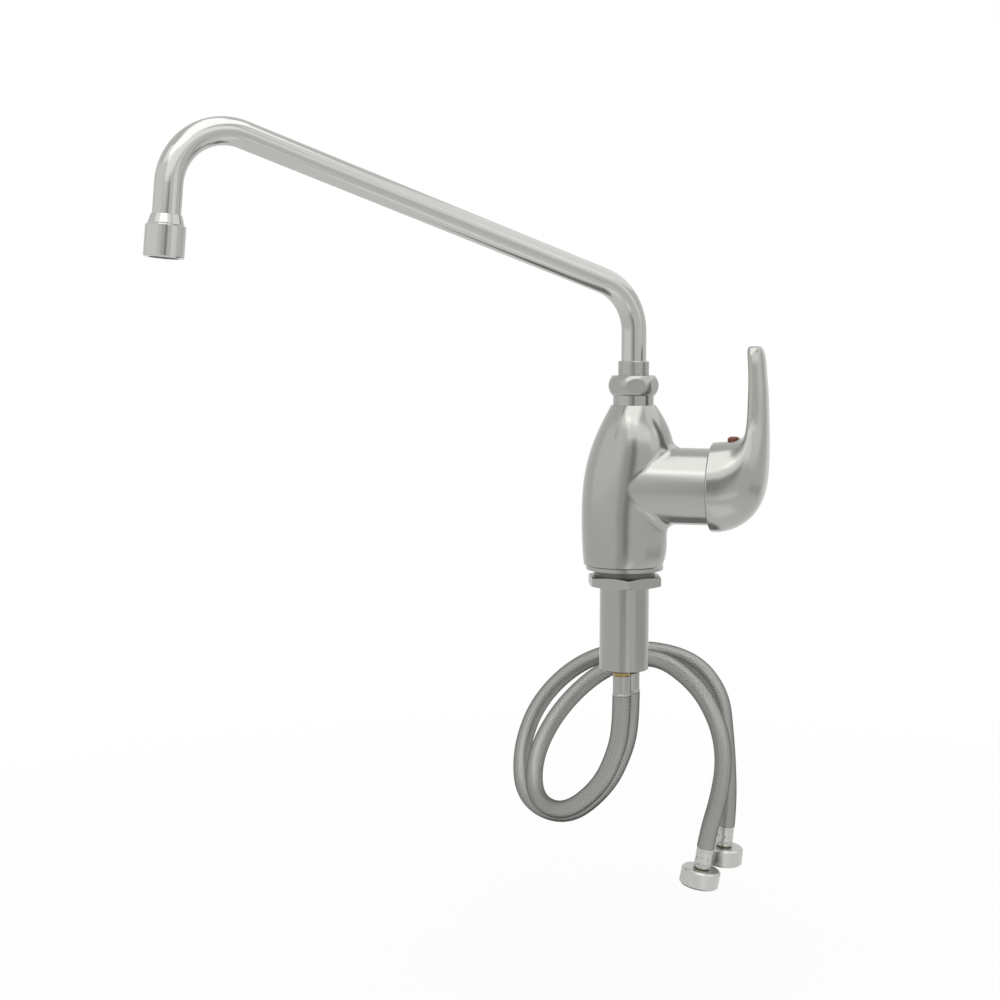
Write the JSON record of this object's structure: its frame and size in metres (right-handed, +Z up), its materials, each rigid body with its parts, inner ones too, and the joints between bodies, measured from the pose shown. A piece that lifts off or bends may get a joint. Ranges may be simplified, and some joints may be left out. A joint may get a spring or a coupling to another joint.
{
  "type": "swing nozzle faucet",
  "caption": "Deck faucet with a long sloping tube spout that swings, a side lever that mixes and opens, a threaded shank with nut, and braided supply hoses.",
  "frame": {"origin": "centre of the base underside, where the shank meets the deck", "axes": "+Z up, +X along the valve arm towards the lever, -Y towards the user"},
  "size_m": [0.3095, 0.3366, 0.492],
  "materials": {
    "satin_nickel": "satin nickel plate over cast brass",
    "polished_nickel": "polished nickel plate over brass tube",
    "threaded_steel": "plated, with a fine thread",
    "steel": "stainless steel",
    "plated_nut": "matt nickel plate over brass",
    "brass": "turned brass",
    "rubber": "matt black",
    "ceramic": "lapped ceramic",
    "white_plastic": "moulded acetal",
    "index_red": "red moulded plug",
    "steel_braid": "woven stainless wire over a rubber core"
  },
  "bodies": {
    "faucet_body": {"body_casting": "satin_nickel", "base_ring": "satin_nickel", "base_gasket": "rubber", "mounting_shank": "threaded_steel", "spout_nut": "satin_nickel", "glide_ring": "white_plastic", "cartridge_base": "white_plastic", "port_seals": "rubber", "fixed_disc": "ceramic", "cartridge_housing": "white_plastic", "cartridge_nut": "brass", "bonnet_cap": "satin_nickel", "hot_hose_tail": "brass", "hot_tail_o_ring": "rubber", "hot_upper_sleeve": "steel", "hot_hose": "steel_braid", "hot_lower_sleeve": "steel", "hot_hose_nipple": "brass", "hot_hose_washer": "rubber", "cold_hose_tail": "brass", "cold_tail_o_ring": "rubber", "cold_upper_sleeve": "steel", "cold_hose": "steel_braid", "cold_lower_sleeve": "steel", "cold_hose_nipple": "brass", "cold_hose_washer": "rubber"},
    "mounting_nut": {"mounting_nut": "threaded_steel", "clamp_washer": "rubber"},
    "spout": {"spout_tube": "polished_nickel", "spout_ferrule": "brass", "spout_o_rings": "rubber", "tip_adapter": "polished_nickel", "aerator_shell": "polished_nickel", "aerator_washer": "rubber", "aerator_insert": "white_plastic", "aerator_screen": "steel"},
    "lever_turn": {"stem_rotor": "white_plastic", "stem_pin": "steel"},
    "lever": {"handle": "satin_nickel", "lever_stem": "steel", "set_screw": "steel", "index_button": "index_red"},
    "disc": {"moving_disc": "ceramic", "disc_carrier": "white_plastic"},
    "hot_coupling": {"hot_coupling_nut": "plated_nut"},
    "cold_coupling": {"cold_coupling_nut": "plated_nut"}
  },
  "joints": [
    {"name": "nut_travel", "type": "slide", "parent": "faucet_body", "child": "mounting_nut", "axis": [0, 0, -1], "range_m": [0, 0.05]},
    {"name": "spout_swing", "type": "hinge", "parent": "faucet_body", "child": "spout", "pos_m": [0.005, 0, 0.12], "axis": [0, 0, 1], "continuous": true},
    {"name": "lever_turn", "type": "hinge", "parent": "faucet_body", "child": "lever_turn", "pos_m": [0.054, 0, 0.0543], "axis": [1, 0, 0], "range_deg": [-45, 45]},
    {"name": "lever_lift", "type": "hinge", "parent": "lever_turn", "child": "lever", "pos_m": [0.054, 0, 0.0543], "axis": [0, 1, 0], "range_deg": [0, 22]},
    {"name": "disc_slide", "type": "slide", "parent": "lever_turn", "child": "disc", "axis": [0, 0, 1], "range_m": [0, 0.00673]},
    {"name": "hot_coupling_turn", "type": "hinge", "parent": "faucet_body", "child": "hot_coupling", "pos_m": [0.04244, 0.04524, -0.21715], "axis": [-0.1642, -0.0493, -0.9852], "continuous": true},
    {"name": "cold_coupling_turn", "type": "hinge", "parent": "faucet_body", "child": "cold_coupling", "pos_m": [0.05319, 0.07418, -0.20942], "axis": [-0.0812, -0.0221, -0.9965], "continuous": true}
  ],
  "couplings": [
    {"joint": "disc_slide", "follows": "lever_lift", "m_per_rad": 0.017465}
  ]
}
